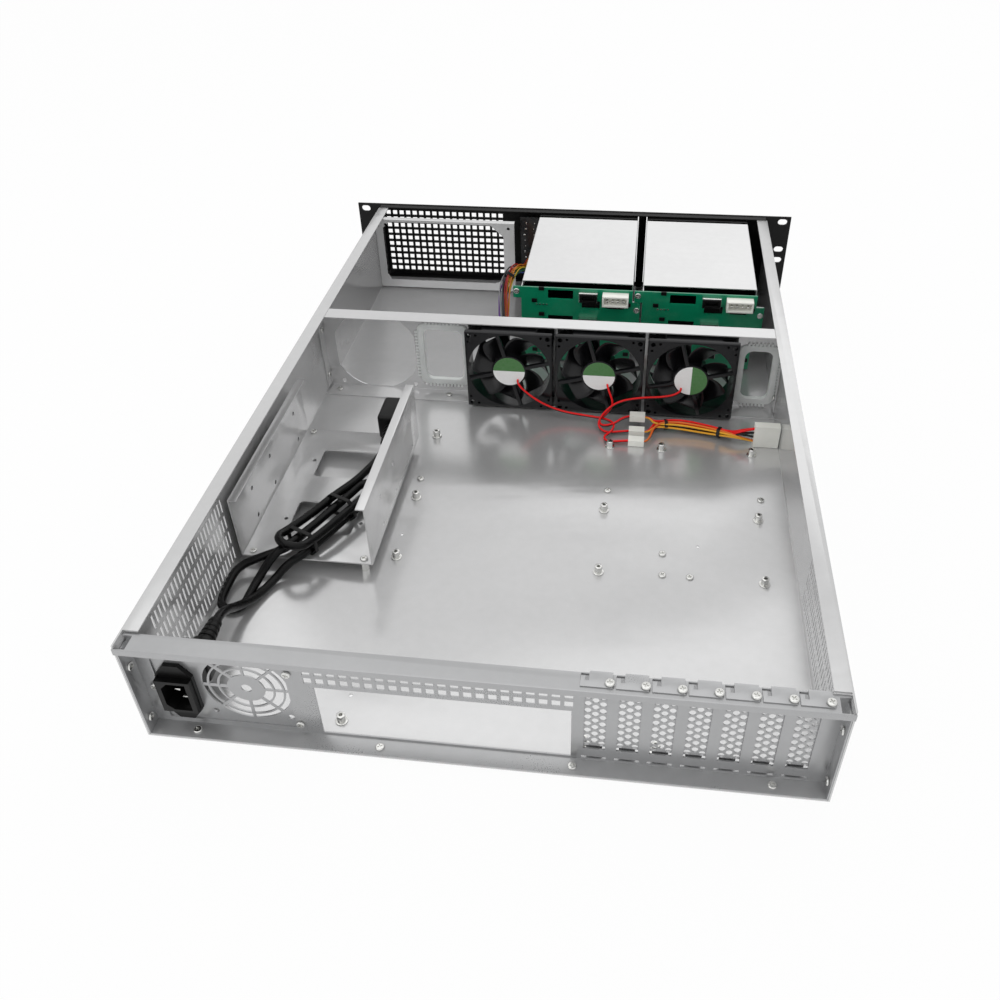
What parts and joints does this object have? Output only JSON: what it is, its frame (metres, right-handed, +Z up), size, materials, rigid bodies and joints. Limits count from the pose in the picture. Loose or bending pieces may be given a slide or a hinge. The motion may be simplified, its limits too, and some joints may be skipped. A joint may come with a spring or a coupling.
{
  "type": "rackmount server case",
  "caption": "Open two-unit rackmount case: folded steel tray, rear panel with slot covers, fan wall with fans, drive cages with pull-out trays, drive bracket and cabling.",
  "frame": {"origin": "under the middle of the whole case, at the level of the rack panel's lower edge", "axes": "+Y towards the rear panel, -Y towards the rack ears, +Z up, +X to the left in a view from the rear"},
  "size_m": [0.4826, 0.66, 0.0881],
  "materials": {
    "galvanised_steel": "satin galvanised sheet",
    "bright_steel": "pale brushed sheet",
    "bright_screws": "bright plated",
    "black_paint": "fine black powder coat",
    "black_plastic": "matt",
    "fan_plastic": "matt",
    "white_plastic": "matt",
    "clear_trim": "matt",
    "board_green": "glossy lacquer",
    "cord_black": "satin",
    "wire_red": "satin",
    "wire_mixed": "satin"
  },
  "bodies": {
    "case": {"backplane_1": "board_green", "backplane_2": "board_green", "backplane_sockets_1": "black_plastic", "backplane_sockets_2": "black_plastic", "base_tray": "galvanised_steel", "board_standoffs": "bright_screws", "bracket_spacers": "bright_screws", "cable_ties": "black_plastic", "case_screws": "bright_screws", "control_board": "board_green", "drive_bracket": "galvanised_steel", "drive_cage_1": "bright_steel", "drive_cage_2": "bright_steel", "fan_frame_1": "fan_plastic", "fan_frame_2": "fan_plastic", "fan_frame_3": "fan_plastic", "fan_lead_1": "wire_red", "fan_lead_2": "wire_red", "fan_lead_3": "wire_red", "fan_plugs": "white_plastic", "fan_wall": "galvanised_steel", "front_loom": "wire_mixed", "front_panel": "black_paint", "inlet_plate": "galvanised_steel", "mains_boot": "black_plastic", "mains_hank": "cord_black", "mains_inlet": "black_plastic", "mains_lead": "cord_black", "mains_socket": "black_plastic", "mains_tail": "cord_black", "port_trims": "clear_trim", "power_loom": "wire_mixed", "power_plug": "white_plastic", "psu_bracket": "galvanised_steel", "rear_panel": "galvanised_steel", "slot_cover_1": "galvanised_steel", "slot_cover_2": "galvanised_steel", "slot_cover_3": "galvanised_steel", "slot_cover_4": "galvanised_steel", "slot_cover_5": "galvanised_steel", "slot_cover_6": "galvanised_steel", "slot_cover_7": "galvanised_steel"},
    "rotor_1": {"fan_rotor_1": "fan_plastic"},
    "rotor_2": {"fan_rotor_2": "fan_plastic"},
    "rotor_3": {"fan_rotor_3": "fan_plastic"},
    "tray_1": {"drive_tray_1": "black_plastic"},
    "lever_1": {"tray_lever_1": "black_plastic"},
    "tray_2": {"drive_tray_2": "black_plastic"},
    "lever_2": {"tray_lever_2": "black_plastic"},
    "tray_3": {"drive_tray_3": "black_plastic"},
    "lever_3": {"tray_lever_3": "black_plastic"},
    "tray_4": {"drive_tray_4": "black_plastic"},
    "lever_4": {"tray_lever_4": "black_plastic"},
    "tray_5": {"drive_tray_5": "black_plastic"},
    "lever_5": {"tray_lever_5": "black_plastic"},
    "tray_6": {"drive_tray_6": "black_plastic"},
    "lever_6": {"tray_lever_6": "black_plastic"},
    "power_key": {"power_button": "black_plastic"},
    "reset_key": {"reset_button": "black_plastic"}
  },
  "joints": [
    {"name": "fan_1_spin", "type": "hinge", "parent": "case", "child": "rotor_1", "pos_m": [0.0319, -0.075, 0.04405], "axis": [0, 1, 0], "continuous": true},
    {"name": "fan_2_spin", "type": "hinge", "parent": "case", "child": "rotor_2", "pos_m": [-0.0509, -0.075, 0.04405], "axis": [0, 1, 0], "continuous": true},
    {"name": "fan_3_spin", "type": "hinge", "parent": "case", "child": "rotor_3", "pos_m": [-0.1337, -0.075, 0.04405], "axis": [0, 1, 0], "continuous": true},
    {"name": "tray_1_slide", "type": "slide", "parent": "case", "child": "tray_1", "axis": [0, -1, 0], "range_m": [0, 0.15]},
    {"name": "lever_1_swing", "type": "hinge", "parent": "tray_1", "child": "lever_1", "pos_m": [0.0154, -0.325, 0.07195], "axis": [0, 0, 1], "range_deg": [0, 75]},
    {"name": "tray_2_slide", "type": "slide", "parent": "case", "child": "tray_2", "axis": [0, -1, 0], "range_m": [0, 0.15]},
    {"name": "lever_2_swing", "type": "hinge", "parent": "tray_2", "child": "lever_2", "pos_m": [0.0154, -0.325, 0.04435], "axis": [0, 0, 1], "range_deg": [0, 75]},
    {"name": "tray_3_slide", "type": "slide", "parent": "case", "child": "tray_3", "axis": [0, -1, 0], "range_m": [0, 0.15]},
    {"name": "lever_3_swing", "type": "hinge", "parent": "tray_3", "child": "lever_3", "pos_m": [0.0154, -0.325, 0.01675], "axis": [0, 0, 1], "range_deg": [0, 75]},
    {"name": "tray_4_slide", "type": "slide", "parent": "case", "child": "tray_4", "axis": [0, -1, 0], "range_m": [0, 0.15]},
    {"name": "lever_4_swing", "type": "hinge", "parent": "tray_4", "child": "lever_4", "pos_m": [-0.102, -0.325, 0.07195], "axis": [0, 0, 1], "range_deg": [0, 75]},
    {"name": "tray_5_slide", "type": "slide", "parent": "case", "child": "tray_5", "axis": [0, -1, 0], "range_m": [0, 0.15]},
    {"name": "lever_5_swing", "type": "hinge", "parent": "tray_5", "child": "lever_5", "pos_m": [-0.102, -0.325, 0.04435], "axis": [0, 0, 1], "range_deg": [0, 75]},
    {"name": "tray_6_slide", "type": "slide", "parent": "case", "child": "tray_6", "axis": [0, -1, 0], "range_m": [0, 0.15]},
    {"name": "lever_6_swing", "type": "hinge", "parent": "tray_6", "child": "lever_6", "pos_m": [-0.102, -0.325, 0.01675], "axis": [0, 0, 1], "range_deg": [0, 75]},
    {"name": "power_press", "type": "slide", "parent": "case", "child": "power_key", "axis": [0, 1, 0], "range_m": [0, 0.0012], "stiffness_N_per_m": 250, "springref_m": -0.001},
    {"name": "reset_press", "type": "slide", "parent": "case", "child": "reset_key", "axis": [0, 1, 0], "range_m": [0, 0.0012], "stiffness_N_per_m": 250, "springref_m": -0.001}
  ]
}
